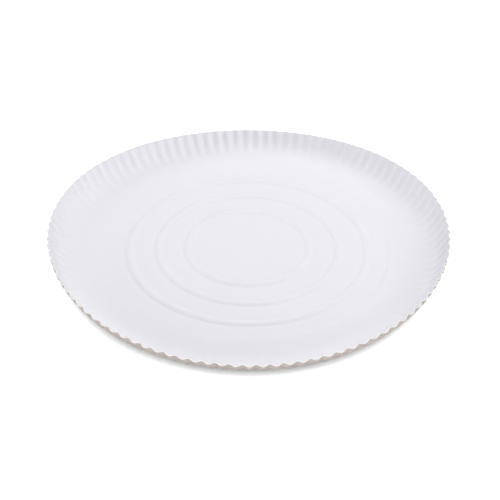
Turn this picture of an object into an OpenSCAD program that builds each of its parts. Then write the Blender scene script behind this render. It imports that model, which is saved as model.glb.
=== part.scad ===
// Round paper plate pressed from one sheet of board: a flat floor with raised
// rings, and a wall that curves up into a fluted rim. The rim is curled a little
// higher at its two sides. The origin is the middle of the floor's underside, +Z
// points up, and the two sides are on X.

/* [Plate] */
// Outside diameter of the rim, measured at half the depth of the flutes
plate_d = 230; // [210:1:280]
// Height of the rim's edge above the table, halfway between its highest and lowest
rim_h = 14.8; // [10:0.2:20]
// How much higher the rim curls up at its two sides (X) than at its two ends (Y)
rim_curl = 6; // [0:0.2:10]
// Thickness of the board
board_t = 0.5; // [0.3:0.05:0.8]

/* [Floor] */
// Diameter of the flat floor, out to where the wall begins
floor_d = 174; // [156:1:180]
// Number of raised rings in the floor
ring_count = 3; // [1:1:3]
// Diameter of the innermost ring, across the tops of its crest
ring_d = 71.4; // [40:0.2:72]
// Distance from one ring to the next, along a radius
ring_pitch = 16.9; // [8:0.1:18]
// Width of a ring from foot to foot
ring_w = 6.2; // [3:0.2:7]
// Height of a ring above the floor
ring_h = 0.8; // [0.1:0.05:1]

/* [Wall] */
// How late the wall turns up: 1 is a straight cone, 5 stays low and then rises
wall_curve = 5; // [1:0.1:6]

/* [Flutes] */
// Number of flutes round the rim
flute_count = 105; // [60:1:107]
// Width of the fluted band, from where the flutes begin out to the rim's edge
flute_w = 14; // [8:0.5:17]
// Depth of a flute from crest to trough, at the rim's edge
flute_depth = 1.3; // [0.4:0.1:2.4]
// How straight-sided the flutes are: low is a soft wave, high is a sharp fold
flute_fold = 0.5; // [0.1:0.05:0.95]

/* [Hidden] */

rim_r = plate_d / 2;
floor_r = floor_d / 2;
// The flutes begin outside the flat floor, however wide their band is
flute_start_r = max(floor_r + 1, rim_r - flute_w);
board = [0.95, 0.95, 0.96];

// The last ring's outer foot, and the flat band left between it and the wall
last_foot_r = ring_d / 2 + (ring_count - 1) * ring_pitch + ring_w / 2;
flat_band = floor_r - last_foot_r;
// The pressed floor and the wall share a flat lap inside that band
lap_in_r = last_foot_r + flat_band / 3;
lap_out_r = last_foot_r + flat_band * 2 / 3;

// Points across one ring, and points round one flute
ring_steps = 10;
flute_steps = 6;
// Radii of the plain rows of the wall, with one part of the way up to the flutes
middle_row_share = 0.6;
middle_row_r = floor_r + (flute_start_r - floor_r) * middle_row_share;
plain_rows = [lap_in_r, floor_r, middle_row_r, flute_start_r];
// Radii of the fluted rows, out to the edge
fluted_row_count = 4;
// The fluted rows crowd towards the edge, where the wall turns up most
row_spread = 0.75;
fluted_rows = [for (k = [1:fluted_row_count])
    flute_start_r + (rim_r - flute_start_r) * pow(k / fluted_row_count, row_spread)];
rim_steps = flute_count * flute_steps;

// Rise of the wall's edge at a turn, highest at the two sides of the curl
function edge_rise(turn) = rim_h - board_t + rim_curl / 2 * cos(2 * turn);

// Rise of the wall at a radius and turn, and the angle that it leans up there
function wall_share(r) = max(0, (r - floor_r) / (rim_r - floor_r));
function wall_z(r, turn) = edge_rise(turn) * pow(wall_share(r), wall_curve);
function wall_angle(r, turn) = wall_share(r) <= 0 ? 0
    : atan(edge_rise(turn) * wall_curve * pow(wall_share(r), wall_curve - 1)
        / (rim_r - floor_r));

// Half the depth of the flutes at a radius, growing from where they begin
function flute_size(r) = flute_depth / 2
    * max(0, (r - flute_start_r) / (rim_r - flute_start_r));

// Wave round the rim, from 1 on a crest to -1 in a trough, and its slope
function fold(turn) = asin(flute_fold * cos(turn * flute_count)) / asin(flute_fold);
function fold_slope(turn) = -flute_fold * sin(turn * flute_count)
    / sqrt(1 - pow(flute_fold * cos(turn * flute_count), 2))
    * 180 / (asin(flute_fold) * PI);

// Half the board's thickness, measured along the wall's normal on a flute's flank
function half_board(r, turn) = board_t / 2
    * sqrt(1 + pow(flute_size(r) * flute_count * fold_slope(turn) / r, 2));

// One point of the board's face: side is 1 on top and -1 underneath
function wall_point(r, turn, side) =
    let (lean = wall_angle(r, turn),
         lift = flute_size(r) * fold(turn) + side * half_board(r, turn),
         out = r - lift * sin(lean))
    [out * cos(turn), out * sin(turn),
     board_t / 2 + wall_z(r, turn) + lift * cos(lean)];

// All points of one face, from the lap out to the edge
function face_points(side) = concat(
    [for (r = plain_rows, i = [0:flute_count - 1])
        wall_point(r, i * 360 / flute_count, side)],
    [for (r = fluted_rows, i = [0:rim_steps - 1])
        wall_point(r, i * 360 / rim_steps, side)]);

face_size = len(plain_rows) * flute_count + fluted_row_count * rim_steps;

// Place in the list of a point on a plain row and on a fluted row of a face
function plain_id(face, row, i) = face * face_size + row * flute_count
    + i % flute_count;
function fluted_id(face, row, i) = face * face_size + len(plain_rows) * flute_count
    + row * rim_steps + (i + rim_steps) % rim_steps;

// Two triangles between the points a, b of one row and c, d of the next
function quad(a, b, c, d) = [[a, b, d], [a, d, c]];

// Plain bands, one quad for each flute
function plain_bands(face) = [
    for (row = [0:len(plain_rows) - 2], i = [0:flute_count - 1],
         t = quad(plain_id(face, row, i), plain_id(face, row, i + 1),
                  plain_id(face, row + 1, i), plain_id(face, row + 1, i + 1))) t];

// The band where the flutes begin: a fan at each crest and a gusset between fans
function first_band(face) = [
    for (i = [0:flute_count - 1])
        let (inner = plain_id(face, len(plain_rows) - 1, i),
             next = plain_id(face, len(plain_rows) - 1, i + 1),
             half = flute_steps / 2)
        each concat(
            [for (k = [-half:half - 1])
                [inner, fluted_id(face, 0, i * flute_steps + k + 1),
                 fluted_id(face, 0, i * flute_steps + k)]],
            [[inner, next, fluted_id(face, 0, i * flute_steps + half)]])];

// Fluted bands, out to the edge
function fluted_bands(face) = [
    for (row = [0:fluted_row_count - 2], i = [0:rim_steps - 1],
         t = quad(fluted_id(face, row, i), fluted_id(face, row, i + 1),
                  fluted_id(face, row + 1, i), fluted_id(face, row + 1, i + 1))) t];

function face_triangles(face) =
    concat(plain_bands(face), first_band(face), fluted_bands(face));
function turned_over(triangles) = [for (t = triangles) [t[2], t[1], t[0]]];

// The cut edge of the board at the rim, and the wall's inner end in the lap
function cut_edge() = [
    for (i = [0:rim_steps - 1],
         t = quad(fluted_id(0, fluted_row_count - 1, i),
                  fluted_id(0, fluted_row_count - 1, i + 1),
                  fluted_id(1, fluted_row_count - 1, i),
                  fluted_id(1, fluted_row_count - 1, i + 1))) t];
function inner_end() = [
    for (i = [0:flute_count - 1],
         t = quad(plain_id(1, 0, i), plain_id(1, 0, i + 1),
                  plain_id(0, 0, i), plain_id(0, 0, i + 1))) t];

// Lift of the floor at a radius: nothing, or a rounded ring
function ring_lift(across) = ring_h * (1 + cos(across * 360 / ring_w)) / 2;
function ring_line(lift) = [
    for (n = [0:ring_count - 1], k = [0:ring_steps])
        let (across = ring_w * (k / ring_steps - 0.5))
        [ring_d / 2 + n * ring_pitch + across, lift + ring_lift(across)]];

// Half section of the floor: the top line outwards and the underside back
module floor_section() {
    top = concat([[0, board_t]], ring_line(board_t), [[lap_out_r, board_t]]);
    under = concat([[0, 0]], ring_line(0), [[lap_out_r, 0]]);
    polygon(concat(top, [for (i = [len(under) - 1:-1:0]) under[i]]));
}

module ringed_floor() {
    rotate_extrude($fn = 240) floor_section();
}

module fluted_wall() {
    polyhedron(
        points = concat(face_points(1), face_points(-1)),
        faces = concat(face_triangles(0), turned_over(face_triangles(1)),
                       cut_edge(), inner_end()));
}

module plate() {
    color(board) {
        ringed_floor();
        fluted_wall();
    }
}

plate();
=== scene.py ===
import logging
import math
import random
from dataclasses import dataclass, field, replace
from enum import Enum, IntEnum
from typing import Callable, Optional, Sequence

import bpy
from mathutils import Matrix, Vector


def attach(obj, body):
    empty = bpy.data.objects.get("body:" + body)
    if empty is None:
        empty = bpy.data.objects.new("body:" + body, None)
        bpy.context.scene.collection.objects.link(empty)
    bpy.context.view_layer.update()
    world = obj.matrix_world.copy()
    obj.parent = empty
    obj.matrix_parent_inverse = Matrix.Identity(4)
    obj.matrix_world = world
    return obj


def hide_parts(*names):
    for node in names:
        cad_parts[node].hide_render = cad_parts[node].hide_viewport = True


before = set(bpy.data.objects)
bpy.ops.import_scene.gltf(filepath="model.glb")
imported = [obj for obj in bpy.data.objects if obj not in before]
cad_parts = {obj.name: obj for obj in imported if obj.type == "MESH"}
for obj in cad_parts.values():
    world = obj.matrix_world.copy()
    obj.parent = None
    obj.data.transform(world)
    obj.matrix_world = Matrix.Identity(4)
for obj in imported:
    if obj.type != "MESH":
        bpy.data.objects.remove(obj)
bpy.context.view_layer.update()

MM = 0.001
WHITE = (1.0, 1.0, 1.0, 1.0)
LOG = logging.getLogger("paper_plate")


class BoardFace(IntEnum):
    """The three looks of the sheet, in the order of its material slots."""

    TOP = 0
    UNDERSIDE = 1
    CUT_EDGE = 2


class RayKind(Enum):
    """Light Path outputs that see the floor as plain white."""

    CAMERA = "Is Camera Ray"
    GLOSSY = "Is Glossy Ray"
    TRANSMISSION = "Is Transmission Ray"


class NodeSheet:
    """Adds nodes to one node tree and joins them."""

    # Places of a Mix node's colour sockets, which share their names with its other sockets
    MIX_FIRST = 6
    MIX_SECOND = 7
    MIX_RESULT = 2
    # Keeps the X and Y of a point and drops its Z
    FLAT = (1.0, 1.0, 0.0)

    def __init__(self, tree: bpy.types.NodeTree) -> None:
        """Starts on a tree.

        Args:
            tree: The tree that the nodes go into. It is emptied first.
        """
        self.tree = tree
        tree.nodes.clear()

    def add(self, kind: str, settings: Optional[dict[str, object]] = None,
            **inputs: object) -> bpy.types.Node:
        """Adds one node.

        Args:
            kind: The node's type name.
            settings: Values of the node's own properties.
            **inputs: Values or sockets for its inputs, with _ in place of each space.

        Returns:
            The new node.
        """
        node = self.tree.nodes.new(kind)
        for key, value in (settings or {}).items():
            setattr(node, key, value)
        for key, value in inputs.items():
            self.feed(node, key.replace("_", " "), value)
        return node

    def feed(self, node: bpy.types.Node, socket: object, value: object) -> None:
        """Sets or links one input of a node.

        Args:
            node: The node that takes the value.
            socket: The input's name, or its place in the list.
            value: A number, a colour, or the output socket of another node.
        """
        if isinstance(value, bpy.types.NodeSocket):
            self.tree.links.new(value, node.inputs[socket])
        else:
            node.inputs[socket].default_value = value

    def math(self, operation: str, *terms: object,
             clamp: bool = False) -> bpy.types.NodeSocket:
        """Joins values by one arithmetic step.

        Args:
            operation: The Math node's operation.
            *terms: Its inputs in order, numbers or sockets.
            clamp: Whether the result is held between 0 and 1.

        Returns:
            The result's socket.
        """
        node = self.add("ShaderNodeMath", {"operation": operation, "use_clamp": clamp})
        for place, term in enumerate(terms):
            self.feed(node, place, term)
        return node.outputs[0]

    def spread(self, value: object, low: float, high: float, to_low: float = 0.0,
               to_high: float = 1.0, smooth: bool = False) -> bpy.types.NodeSocket:
        """Maps a value from one range to another and holds it there.

        Args:
            value: The socket that is mapped.
            low: Start of the range it comes from.
            high: End of the range it comes from.
            to_low: Result at low.
            to_high: Result at high.
            smooth: Whether the change eases in and out.

        Returns:
            The result's socket.
        """
        shape = "SMOOTHSTEP" if smooth else "LINEAR"
        node = self.add("ShaderNodeMapRange", {"interpolation_type": shape}, Value=value,
                        From_Min=low, From_Max=high, To_Min=to_low, To_Max=to_high)
        return node.outputs[0]

    def noise(self, place: object, scale: object, detail: float,
              roughness: float) -> bpy.types.NodeSocket:
        """Adds a noise pattern.

        Args:
            place: The socket of the coordinates.
            scale: How many patches there are to a metre.
            detail: How many finer layers are added.
            roughness: How strong the finer layers are.

        Returns:
            The pattern's value, about 0.5 on average.
        """
        node = self.add("ShaderNodeTexNoise", Vector=place, Scale=scale, Detail=detail,
                        Roughness=roughness)
        return node.outputs[0]

    def reach(self, place: bpy.types.NodeSocket) -> bpy.types.NodeSocket:
        """Distance of a point from the Z axis.

        Args:
            place: The socket of the coordinates.

        Returns:
            The distance's socket.
        """
        flat = self.add("ShaderNodeVectorMath", {"operation": "MULTIPLY"})
        self.feed(flat, 0, place)
        self.feed(flat, 1, self.FLAT)
        length = self.add("ShaderNodeVectorMath", {"operation": "LENGTH"})
        self.feed(length, 0, flat.outputs[0])
        return length.outputs["Value"]

    def tint(self, share: object, low: Sequence[float],
             high: Sequence[float]) -> bpy.types.NodeSocket:
        """Mixes two colours.

        Args:
            share: How much of the second colour there is, from 0 to 1.
            low: The first colour.
            high: The second colour.

        Returns:
            The mixed colour's socket.
        """
        node = self.add("ShaderNodeMix", {"data_type": "RGBA"}, Factor=share)
        self.feed(node, self.MIX_FIRST, (*low, 1.0))
        self.feed(node, self.MIX_SECOND, (*high, 1.0))
        return node.outputs[self.MIX_RESULT]


@dataclass(frozen=True)
class FibreLay:
    """One set of fibres in the board: how it is stretched, and its turn about Z."""

    stretch: tuple[float, float, float]
    turn: float

    def noise(self, sheet: NodeSheet, place: object, scale: object) -> bpy.types.NodeSocket:
        """Adds the pattern of these fibres.

        Args:
            sheet: The nodes that it joins.
            place: The socket of the coordinates.
            scale: How many fibres there are to a metre.

        Returns:
            The pattern's value.
        """
        laid = sheet.add("ShaderNodeMapping", Vector=place, Scale=self.stretch,
                         Rotation=(0.0, 0.0, self.turn))
        return sheet.noise(laid.outputs[0], scale, detail=4.0, roughness=0.6)


class FibreGrain:
    """Shared node group: the fine fibres and the slow mottle of pressed board."""

    GROUP_NAME = "board_grain"
    LONG_WAY = FibreLay(stretch=(1.0, 0.35, 1.0), turn=0.4)
    CROSS_WAY = FibreLay(stretch=(0.4, 1.0, 1.0), turn=-0.7)
    FIBRE_RANGE = (0.35, 0.8)
    MOTTLE_RANGE = (0.3, 0.7)
    SOCKETS = (("Fibre Scale", "INPUT", 2600.0), ("Mottle Scale", "INPUT", 60.0),
               ("Fleck Share", "INPUT", 0.5), ("Tone", "OUTPUT", None),
               ("Height", "OUTPUT", None))

    @classmethod
    def group(cls) -> bpy.types.NodeTree:
        """Makes the group at the first call.

        Returns:
            The node group.
        """
        found = bpy.data.node_groups.get(cls.GROUP_NAME)
        if found:
            return found
        tree = bpy.data.node_groups.new(cls.GROUP_NAME, "ShaderNodeTree")
        sheet = NodeSheet(tree)
        tree.interface.new_socket("Vector", in_out="INPUT", socket_type="NodeSocketVector")
        for name, side, value in cls.SOCKETS:
            socket = tree.interface.new_socket(name, in_out=side, socket_type="NodeSocketFloat")
            if value is not None:
                socket.default_value = value
        given = sheet.add("NodeGroupInput").outputs
        place = given["Vector"]
        fleck_share = given["Fleck Share"]
        fibres = sheet.math("MAXIMUM",
                            cls.LONG_WAY.noise(sheet, place, given["Fibre Scale"]),
                            cls.CROSS_WAY.noise(sheet, place, given["Fibre Scale"]))
        fibre_tone = sheet.spread(fibres, *cls.FIBRE_RANGE)
        mottle = sheet.noise(place, given["Mottle Scale"], detail=3.0, roughness=0.5)
        fleck = sheet.math("MULTIPLY", fibre_tone, fleck_share)
        rest = sheet.math("MULTIPLY", sheet.spread(mottle, *cls.MOTTLE_RANGE),
                          sheet.math("SUBTRACT", 1.0, fleck_share))
        out = sheet.add("NodeGroupOutput")
        sheet.feed(out, "Tone", sheet.math("ADD", fleck, rest, clamp=True))
        sheet.feed(out, "Height", fibre_tone)
        return tree

    @classmethod
    def place(cls, sheet: NodeSheet, coordinates: object, **inputs: float) -> bpy.types.Node:
        """Puts the group into a material.

        Args:
            sheet: The material's nodes.
            coordinates: The socket of the coordinates.
            **inputs: The group's own values.

        Returns:
            The group node, with outputs Tone and Height.
        """
        node = sheet.add("ShaderNodeGroup", {"node_tree": cls.group()}, Vector=coordinates)
        for key, value in inputs.items():
            sheet.feed(node, key.replace("_", " "), value)
        return node


@dataclass(frozen=True)
class BoardFinish:
    """One face of the board: its colours, roughness, fibre relief and crimps."""

    name: str
    shade: tuple[float, float, float]
    light: tuple[float, float, float]
    fibre_scale: float
    mottle_scale: float
    fleck_share: float
    roughness_low: float
    roughness_high: float
    relief: float
    sheen: float
    crimp: float = 0.0
    crimp_scale: float = 900.0
    crimp_range: tuple[float, float] = (0.35, 0.65)

    def material(self, sizes: "PlateSizes") -> bpy.types.Material:
        """Builds the material.

        Args:
            sizes: The plate's sizes, for where the pressed wall begins.

        Returns:
            The new material.
        """
        material = bpy.data.materials.new(self.name)
        material.use_nodes = True
        sheet = NodeSheet(material.node_tree)
        place = sheet.add("ShaderNodeTexCoord").outputs["Object"]
        grain = FibreGrain.place(sheet, place, Fibre_Scale=self.fibre_scale,
                                 Mottle_Scale=self.mottle_scale, Fleck_Share=self.fleck_share)
        tone = grain.outputs["Tone"]
        height = grain.outputs["Height"]
        if self.crimp:
            height = sheet.math("ADD", height, self._crimps(sheet, place, sizes))
        bump = sheet.add("ShaderNodeBump", Strength=1.0, Distance=self.relief, Height=height)
        shader = sheet.add("ShaderNodeBsdfPrincipled",
                           Base_Color=sheet.tint(tone, self.shade, self.light),
                           Roughness=sheet.spread(tone, 0.0, 1.0, self.roughness_high,
                                                  self.roughness_low),
                           Normal=bump.outputs[0])
        shader.inputs["Specular IOR Level"].default_value = self.sheen
        out = sheet.add("ShaderNodeOutputMaterial")
        sheet.feed(out, "Surface", shader.outputs[0])
        return material

    def _crimps(self, sheet: NodeSheet, place: bpy.types.NodeSocket,
                sizes: "PlateSizes") -> bpy.types.NodeSocket:
        """Adds the small creases where pressing has crowded the board into the wall.

        Args:
            sheet: The material's nodes.
            place: The socket of the coordinates.
            sizes: The plate's sizes.

        Returns:
            The height of the creases.
        """
        mask = sheet.spread(sheet.reach(place), sizes.flute_start_r, sizes.rim_r,
                            smooth=True)
        pattern = sheet.noise(place, self.crimp_scale, detail=2.0, roughness=0.5)
        creases = sheet.spread(pattern, *self.crimp_range)
        return sheet.math("MULTIPLY", sheet.math("MULTIPLY", creases, mask), self.crimp)


@dataclass(frozen=True)
class PlateSizes:
    """Sizes of the plate, the same as in the part's source, in metres."""

    rim_r: float = 115.0 * MM
    edge_rise_low: float = 11.3 * MM
    curl: float = 6.0 * MM
    board_t: float = 0.5 * MM
    floor_r: float = 87.0 * MM
    ring_radii: tuple[float, ...] = (35.7 * MM, 52.6 * MM, 69.5 * MM)
    ring_w: float = 6.2 * MM
    ring_h: float = 0.8 * MM
    wall_power: float = 5.0
    flute_count: int = 105
    flute_start_r: float = 101.0 * MM
    flute_depth: float = 1.3 * MM
    flute_fold: float = 0.5

    def wall_share(self, radius: float) -> float:
        """How far across the wall a radius is, from 0 to 1."""
        return max(0.0, (radius - self.floor_r) / (self.rim_r - self.floor_r))

    def flute_share(self, radius: float) -> float:
        """How far across the flutes a radius is, from 0 to 1."""
        width = self.rim_r - self.flute_start_r
        return min(1.0, max(0.0, (radius - self.flute_start_r) / width))


@dataclass(frozen=True)
class Ridge:
    """Section of a round ridge in the floor: radii of its feet and top, and its height."""

    foot_r: float
    top_r: float
    end_r: float
    height: float


@dataclass
class PlateSheet:
    """The one sheet of board: pressed floor, curled wall, flutes and cut edge."""

    sizes: PlateSizes
    finishes: Sequence[BoardFinish]
    # Points round the floor, and cuts that divide each gap again where the flutes begin
    floor_segments: int = 315
    splits_at_flutes: int = 3
    hub_r: float = 12.0 * MM
    # Rows across a ridge's flank, the share of it that they span, and the ridge's
    # roundness: 1 is a sharp roof, 2 a round top
    flank_steps: int = 6
    flank_share: float = 0.86
    crown_power: float = 1.8
    # The crease at the foot of the wall, and the turn about Z at which it is highest
    crease: Ridge = Ridge(foot_r=80.9 * MM, top_r=83.6 * MM, end_r=97.0 * MM,
                          height=0.6 * MM)
    crease_turn: float = math.radians(-25.0)
    # Above 1, the flutes fade in later and their crests are narrower
    flute_power: float = 1.35
    crest_power: float = 1.15
    # Rows of the wall before and along the flutes, where below 1 crowds them to the edge
    low_wall_rows: int = 4
    fluted_rows: int = 18
    row_crowding: float = 0.8
    edge_bevel: float = 0.09 * MM
    smooth_angle: float = math.radians(38.0)
    # How much shallower a flute can be than the deepest, and the seed of the draw
    press_spread: float = 0.1
    press_seed: int = 7
    # The sheet so far, the radius and height of its outer edge, and its flutes' depths
    piece: Optional[bpy.types.Object] = field(default=None, init=False)
    edge_r: float = field(default=0.0, init=False)
    edge_h: float = field(default=0.0, init=False)
    flute_depths: list[float] = field(default_factory=list, init=False)

    def build(self) -> bpy.types.Object:
        """Models the sheet.

        Returns:
            The finished piece.
        """
        self._hub()
        for radius, height in self._floor_line():
            self._extend(radius, height)
        self._split_edge()
        for radius in self._wall_rows():
            self._extend(radius, self._low_wall(radius))
        bpy.ops.object.mode_set(mode="OBJECT")
        self._displace("rim_curl", "Z", self.sizes.curl, self._curl_share)
        self._displace("foot_crease", "Z", self.crease.height, self._crease_share)
        self._flute()
        self._thicken()
        self._ease_cut_edge()
        return self.piece

    def dress(self) -> None:
        """Gives the three looks to the top, the underside and the cut edge."""
        for place, finish in enumerate(self.finishes):
            self.piece.data.materials[place] = finish.material(self.sizes)

    def _hub(self) -> None:
        """Adds the middle of the floor and opens it for editing."""
        bpy.ops.object.select_all(action="DESELECT")
        bpy.ops.mesh.primitive_circle_add(vertices=self.floor_segments, radius=self.hub_r,
                                          fill_type="TRIFAN",
                                          location=(0.0, 0.0, self.sizes.board_t / 2))
        self.piece = bpy.context.object
        self.piece.name = "pressed_board"
        self.piece.data.name = "pressed_board"
        bpy.ops.object.transform_apply(location=True, rotation=True, scale=True)
        bpy.ops.object.mode_set(mode="EDIT")
        bpy.ops.mesh.select_mode(type="EDGE")
        self._select_open_edge()
        self.edge_r = self.hub_r

    def _select_open_edge(self) -> None:
        """Selects the outer edge of the sheet as it is so far."""
        bpy.ops.mesh.select_all(action="DESELECT")
        bpy.ops.mesh.select_non_manifold(extend=False, use_wire=False, use_boundary=True,
                                         use_multi_face=False, use_non_contiguous=False,
                                         use_verts=False)

    def _extend(self, radius: float, height: float) -> None:
        """Draws the sheet's outer edge out to a new circle.

        Args:
            radius: The new circle's radius.
            height: Its height above the flat floor.
        """
        bpy.ops.mesh.extrude_region_move(
            TRANSFORM_OT_translate={"value": (0.0, 0.0, height - self.edge_h)})
        grow = radius / self.edge_r
        bpy.ops.transform.resize(value=(grow, grow, 1.0), center_override=(0.0, 0.0, 0.0))
        self.edge_r = radius
        self.edge_h = height

    def _ridges(self) -> list[Ridge]:
        """Lists the ridges of the floor from the middle outwards.

        Returns:
            The rings, and the crease laid flat, since it is raised later on one side.
        """
        half = self.sizes.ring_w / 2
        rings = [Ridge(radius - half, radius, radius + half, self.sizes.ring_h)
                 for radius in self.sizes.ring_radii]
        return [*rings, replace(self.crease, height=0.0)]

    def _floor_line(self) -> list[tuple[float, float]]:
        """Works out the rows of the floor, out to where the flutes begin.

        Returns:
            Radius and height of each row.
        """
        rows: list[tuple[float, float]] = []
        last = self.hub_r
        for ridge in self._ridges():
            rows.append(((last + ridge.foot_r) / 2, 0.0))
            rows.append((ridge.foot_r, 0.0))
            for step in range(-self.flank_steps, self.flank_steps + 1):
                across = abs(step) / self.flank_steps
                side = ridge.end_r if step > 0 else ridge.foot_r
                radius = ridge.top_r + (side - ridge.top_r) * across * self.flank_share
                lift = ridge.height * (1 - across ** self.crown_power)
                rows.append((radius, lift + self._low_wall(radius)))
            rows.append((ridge.end_r, self._low_wall(ridge.end_r)))
            last = ridge.end_r
        for step in range(1, self.low_wall_rows + 1):
            radius = last + (self.sizes.flute_start_r - last) * step / self.low_wall_rows
            rows.append((radius, self._low_wall(radius)))
        return rows

    def _low_wall(self, radius: float) -> float:
        """Height of the wall at a radius, along the low ends of the curl."""
        share = self.sizes.wall_share(radius)
        return self.sizes.edge_rise_low * share ** self.sizes.wall_power

    def _split_edge(self) -> None:
        """Divides the edge more finely, ready for the flutes."""
        bpy.ops.mesh.subdivide(number_cuts=self.splits_at_flutes, ngon=True)
        self._select_open_edge()

    def _wall_rows(self) -> list[float]:
        """Works out the fluted rows, which crowd towards the edge.

        Returns:
            Radius of each row.
        """
        sizes = self.sizes
        return [sizes.flute_start_r + (sizes.rim_r - sizes.flute_start_r)
                * (row / self.fluted_rows) ** self.row_crowding
                for row in range(1, self.fluted_rows + 1)]

    def _displace(self, name: str, direction: str, strength: float,
                  weight: Callable[[float, float], float]) -> None:
        """Moves the sheet's points by a Displace modifier and a vertex group.

        Args:
            name: The modifier's and the group's name.
            direction: The Displace direction.
            strength: Distance moved at full weight.
            weight: Function of radius and turn that gives the weight.
        """
        group = self.piece.vertex_groups.new(name=name)
        for vertex in self.piece.data.vertices:
            radius = math.hypot(vertex.co.x, vertex.co.y)
            if radius > self.crease.foot_r:
                turn = math.atan2(vertex.co.y, vertex.co.x)
                group.add([vertex.index], weight(radius, turn), "REPLACE")
        self._activate()
        bpy.ops.object.modifier_add(type="DISPLACE")
        modifier = self.piece.modifiers[-1]
        modifier.name = name
        modifier.direction = direction
        modifier.strength = strength
        modifier.mid_level = 0.0
        modifier.vertex_group = name
        bpy.ops.object.modifier_apply(modifier=name)

    def _activate(self) -> None:
        """Selects only the piece."""
        bpy.ops.object.select_all(action="DESELECT")
        self.piece.select_set(True)
        bpy.context.view_layer.objects.active = self.piece

    def _curl_share(self, radius: float, turn: float) -> float:
        """Share of the curl at a point, most at the two sides of the rim."""
        wall = self.sizes.wall_share(radius) ** self.sizes.wall_power
        return (1 + math.cos(2 * turn)) / 2 * wall

    def _crease_share(self, radius: float, turn: float) -> float:
        """Gives the crease's share of its height, which fades out round the plate.

        Args:
            radius: A point's distance from the axis.
            turn: Its angle about the axis.

        Returns:
            The share, from 0 to 1.
        """
        crease = self.crease
        side = crease.foot_r if radius < crease.top_r else crease.end_r
        width = abs(side - crease.top_r) * self.flank_share
        across = min(1.0, abs(radius - crease.top_r) / width)
        return (1 - across ** self.crown_power) * max(0.0, math.cos(turn - self.crease_turn))

    def _flute(self) -> None:
        """Presses the flutes: one move sinks the rim, the next lifts the crests."""
        draw = random.Random(self.press_seed)
        self.flute_depths = [1 - draw.uniform(0.0, self.press_spread)
                             for _ in range(self.sizes.flute_count)]
        depth = self.sizes.flute_depth
        self._displace("flute_sink", "NORMAL", -depth / 2, self._flute_share)
        self._displace("flute_crests", "NORMAL", depth, self._crest_share)

    def _flute_share(self, radius: float, turn: float) -> float:
        """Gives how deep the flutes are, between one flute's own depth and the next's.

        Args:
            radius: A point's distance from the axis.
            turn: Its angle about the axis.

        Returns:
            The share of the full depth, from 0 to 1.
        """
        count = self.sizes.flute_count
        place = (turn / math.tau * count) % count
        before = int(place) % count
        after = (before + 1) % count
        part = place - int(place)
        grown = self.sizes.flute_share(radius) ** self.flute_power
        return grown * (self.flute_depths[before] * (1 - part)
                        + self.flute_depths[after] * part)

    def _crest_share(self, radius: float, turn: float) -> float:
        """Gives how much a point is lifted by the flutes' wave.

        Args:
            radius: A point's distance from the axis.
            turn: Its angle about the axis.

        Returns:
            The share of the full depth: 0 in a trough and up to 1 on a crest.
        """
        fold = self.sizes.flute_fold
        folded = math.asin(fold * math.cos(turn * self.sizes.flute_count))
        wave = ((1 + folded / math.asin(fold)) / 2) ** self.crest_power
        return self._flute_share(radius, turn) * wave

    def _thicken(self) -> None:
        """Gives the sheet its thickness, with its own looks below and at the cut."""
        for _ in BoardFace:
            self.piece.data.materials.append(None)
        self._activate()
        self.piece.vertex_groups.clear()
        bpy.ops.object.modifier_add(type="SOLIDIFY")
        modifier = self.piece.modifiers[-1]
        modifier.name = "board_thickness"
        modifier.thickness = self.sizes.board_t
        modifier.offset = 0.0
        modifier.use_even_offset = True
        modifier.use_quality_normals = True
        modifier.material_offset = BoardFace.UNDERSIDE
        modifier.material_offset_rim = BoardFace.CUT_EDGE
        bpy.ops.object.modifier_apply(modifier=modifier.name)

    def _ease_cut_edge(self) -> None:
        """Rounds the two corners of the cut edge a little."""
        bpy.ops.object.mode_set(mode="EDIT")
        bpy.ops.mesh.select_mode(type="FACE")
        bpy.ops.mesh.select_all(action="DESELECT")
        bpy.ops.object.mode_set(mode="OBJECT")
        for polygon in self.piece.data.polygons:
            polygon.select = polygon.material_index == BoardFace.CUT_EDGE
        bpy.ops.object.mode_set(mode="EDIT")
        bpy.ops.mesh.region_to_loop()
        bpy.ops.mesh.bevel(offset=self.edge_bevel, segments=1, affect="EDGES",
                           material=BoardFace.CUT_EDGE)
        bpy.ops.object.mode_set(mode="OBJECT")
        bpy.ops.object.shade_smooth_by_angle(angle=self.smooth_angle)


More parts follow.
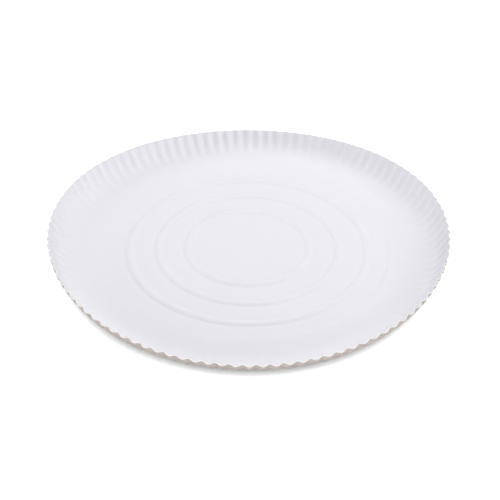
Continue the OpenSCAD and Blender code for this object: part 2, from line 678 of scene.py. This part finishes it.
@dataclass(frozen=True)
class FloorFinish:
    """Plain white studio floor that keeps the plate's shadow.

    What looks at the floor sees it lifted to plain white in the open, and hardly at all
    under the plate. The lift fades out in a ring from the rim's radius inwards, which
    paints shadow onto the floor there on top of its real contact shadow.
    """

    name: str = "studio_white"
    albedo: tuple[float, float, float] = (0.875, 0.9, 0.91)
    glow: tuple[float, float, float] = (0.98, 1.0, 1.0)
    # Glow under the plate, where it paints shadow, and glow on the open floor
    painted_shadow_lift: float = 0.09
    lift_open: float = 1.0
    shade_in_r: float = 104.0 * MM
    shade_out_r: float = 115.5 * MM
    roughness: float = 0.9

    def material(self) -> bpy.types.Material:
        """Builds the material.

        Returns:
            The new material.
        """
        material = bpy.data.materials.new(self.name)
        material.use_nodes = True
        sheet = NodeSheet(material.node_tree)
        path = sheet.add("ShaderNodeLightPath")
        seen = path.outputs[RayKind.CAMERA.value]
        for kind in (RayKind.GLOSSY, RayKind.TRANSMISSION):
            seen = sheet.math("MAXIMUM", seen, path.outputs[kind.value])
        place = sheet.add("ShaderNodeTexCoord").outputs["Object"]
        # Painted shadow: the glow fades out in a ring under the plate's rim, so the floor there
        # is darker than its real contact shadow alone would make it
        lift = sheet.spread(sheet.reach(place), self.shade_in_r, self.shade_out_r,
                            self.painted_shadow_lift, self.lift_open, smooth=True)
        diffuse = sheet.add("ShaderNodeBsdfDiffuse", Color=(*self.albedo, 1.0),
                            Roughness=self.roughness)
        glow = sheet.add("ShaderNodeEmission", Color=(*self.glow, 1.0),
                         Strength=sheet.math("MULTIPLY", seen, lift))
        both = sheet.add("ShaderNodeAddShader")
        sheet.feed(both, 0, diffuse.outputs[0])
        sheet.feed(both, 1, glow.outputs[0])
        clear = sheet.add("ShaderNodeBsdfTransparent")
        face = sheet.add("ShaderNodeNewGeometry")
        choice = sheet.add("ShaderNodeMixShader")
        sheet.feed(choice, 0, face.outputs["Backfacing"])
        sheet.feed(choice, 1, both.outputs[0])
        sheet.feed(choice, 2, clear.outputs[0])
        out = sheet.add("ShaderNodeOutputMaterial")
        sheet.feed(out, "Surface", choice.outputs[0])
        return material


@dataclass(frozen=True)
class SoftLamp:
    """One square softbox, turned to the plate.

    Its azimuth, in degrees, goes round from the near side of the plate to its right.
    """

    name: str
    azimuth: float
    elevation: float
    level: float
    size: float = 0.6
    distance: float = 1.4

    def build(self) -> None:
        """Adds the lamp at the power that gives its level to a surface facing it."""
        azimuth, elevation = math.radians(self.azimuth), math.radians(self.elevation)
        flat = math.cos(elevation)
        away = Vector((math.sin(azimuth) * flat, -math.cos(azimuth) * flat,
                       math.sin(elevation)))
        bpy.ops.object.select_all(action="DESELECT")
        bpy.ops.object.light_add(type="AREA", location=away * self.distance)
        lamp = bpy.context.object
        lamp.name = self.name
        lamp.data.shape = "SQUARE"
        lamp.data.size = self.size
        lamp.data.energy = self.level * (math.pi * self.distance) ** 2
        lamp.rotation_euler = away.to_track_quat("Z", "Y").to_euler()


@dataclass
class Studio:
    """White floor, soft lamps all round and an even sky."""

    floor_finish: FloorFinish
    lamps: Sequence[SoftLamp]
    floor_size: float = 6.0
    floor_drop: float = 0.05 * MM
    sky_level: float = 0.14
    backdrop_level: float = 1.0

    def build(self) -> None:
        """Builds the floor, the lamps and the sky."""
        self._floor()
        for lamp in self.lamps:
            lamp.build()
        self._sky()

    def _floor(self) -> None:
        """Adds the floor just under the plate."""
        bpy.ops.object.select_all(action="DESELECT")
        bpy.ops.mesh.primitive_plane_add(size=self.floor_size,
                                         location=(0.0, 0.0, -self.floor_drop))
        floor = bpy.context.object
        floor.name = "studio_floor"
        floor.data.materials.append(self.floor_finish.material())

    def _sky(self) -> None:
        """Lights evenly from all round, and shows plain white behind the floor."""
        world = bpy.data.worlds.new("studio_sky")
        bpy.context.scene.world = world
        world.use_nodes = True
        sheet = NodeSheet(world.node_tree)
        path = sheet.add("ShaderNodeLightPath")
        level = sheet.spread(path.outputs[RayKind.CAMERA.value], 0.0, 1.0, self.sky_level,
                             self.backdrop_level)
        sky = sheet.add("ShaderNodeBackground", Color=WHITE, Strength=level)
        out = sheet.add("ShaderNodeOutputWorld")
        sheet.feed(out, "Surface", sky.outputs[0])


@dataclass(frozen=True)
class PhotoCamera:
    """The photograph's viewpoint, turned so that aim_px looks at the plate's middle."""

    azimuth: float = math.radians(-1.22)
    elevation: float = math.radians(36.464)
    distance: float = 0.66025
    aim_height: float = 0.5 * MM
    focal_px: float = 1126.43
    frame_px: float = 500.0
    aim_px: tuple[float, float] = (248.70, 246.50)
    roll: float = math.radians(0.36)
    sensor_mm: float = 36.0

    def build(self) -> bpy.types.Object:
        """Adds the camera and makes it the scene's.

        Returns:
            The camera.
        """
        back = Vector((math.sin(self.azimuth) * math.cos(self.elevation),
                       -math.cos(self.azimuth) * math.cos(self.elevation),
                       math.sin(self.elevation)))
        right = Vector((math.cos(self.azimuth), math.sin(self.azimuth), 0.0))
        up = back.cross(right)
        axes = Matrix((right, up, back)).transposed()
        centre = self.frame_px / 2
        pan = math.atan((self.aim_px[0] - centre) / self.focal_px)
        tilt = math.atan((self.aim_px[1] - centre) / self.focal_px)
        axes = (axes @ Matrix.Rotation(pan, 3, "Y") @ Matrix.Rotation(tilt, 3, "X")
                @ Matrix.Rotation(self.roll, 3, "Z"))
        bpy.ops.object.select_all(action="DESELECT")
        bpy.ops.object.camera_add()
        camera = bpy.context.object
        camera.name = "photo_camera"
        camera.data.sensor_width = self.sensor_mm
        camera.data.lens = self.focal_px / self.frame_px * self.sensor_mm
        camera.matrix_world = Matrix.Translation(
            back * self.distance + Vector((0.0, 0.0, self.aim_height))) @ axes.to_4x4()
        bpy.context.scene.camera = camera
        return camera


COATED_TOP = BoardFinish(
    name="coated_white_board", shade=(0.82, 0.815, 0.856), light=(0.845, 0.84, 0.879),
    fibre_scale=1500.0, mottle_scale=45.0, fleck_share=0.7, roughness_low=0.5,
    roughness_high=0.62, relief=0.03 * MM, crimp=3.0, sheen=0.5)
BARE_UNDERSIDE = BoardFinish(
    name="bare_grey_brown_board", shade=(0.477, 0.41, 0.378), light=(0.7, 0.63, 0.6),
    fibre_scale=1100.0, mottle_scale=90.0, fleck_share=0.65, roughness_low=0.8,
    roughness_high=0.95, relief=0.06 * MM, sheen=0.25)
CUT_EDGE = BoardFinish(
    name="cut_board_edge", shade=(0.9, 0.88, 0.86), light=(0.97, 0.965, 0.95),
    fibre_scale=2400.0, mottle_scale=300.0, fleck_share=0.6, roughness_low=0.8,
    roughness_high=0.95, relief=0.03 * MM, sheen=0.3)

SOFT_LAMPS = (
    SoftLamp("right_high_lamp", azimuth=90.0, elevation=60.0, level=0.22),
    SoftLamp("right_lamp", azimuth=90.0, elevation=35.0, level=0.225),
    SoftLamp("right_rear_high_lamp", azimuth=135.0, elevation=60.0, level=0.135),
    SoftLamp("right_rear_low_lamp", azimuth=135.0, elevation=10.0, level=0.145),
    SoftLamp("rear_high_lamp", azimuth=180.0, elevation=60.0, level=0.08),
    SoftLamp("rear_lamp", azimuth=180.0, elevation=35.0, level=0.08),
    SoftLamp("left_rear_high_lamp", azimuth=225.0, elevation=60.0, level=0.09),
    SoftLamp("left_rear_lamp", azimuth=225.0, elevation=35.0, level=0.23),
    SoftLamp("left_rear_low_lamp", azimuth=225.0, elevation=10.0, level=0.085),
    SoftLamp("left_low_lamp", azimuth=270.0, elevation=10.0, level=0.2),
    SoftLamp("left_front_low_lamp", azimuth=315.0, elevation=10.0, level=0.04),
    SoftLamp("front_low_lamp", azimuth=0.0, elevation=10.0, level=0.46),
)


def main() -> None:
    """Builds the plate, the studio and the camera, and reports each."""
    logging.basicConfig(level=logging.INFO, format="%(name)s: %(message)s")
    bpy.context.scene.view_settings.view_transform = "Standard"
    plate = PlateSheet(PlateSizes(), (COATED_TOP, BARE_UNDERSIDE, CUT_EDGE))
    piece = plate.build()
    plate.dress()
    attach(piece, "root")
    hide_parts("plate")
    LOG.info("%s: %d faces", piece.name, len(piece.data.polygons))
    Studio(FloorFinish(), SOFT_LAMPS).build()
    LOG.info("studio: floor, %d lamps and sky", len(SOFT_LAMPS))
    camera = PhotoCamera().build()
    LOG.info("%s: lens %.1f mm", camera.name, camera.data.lens)


if __name__ == "__main__":
    main()
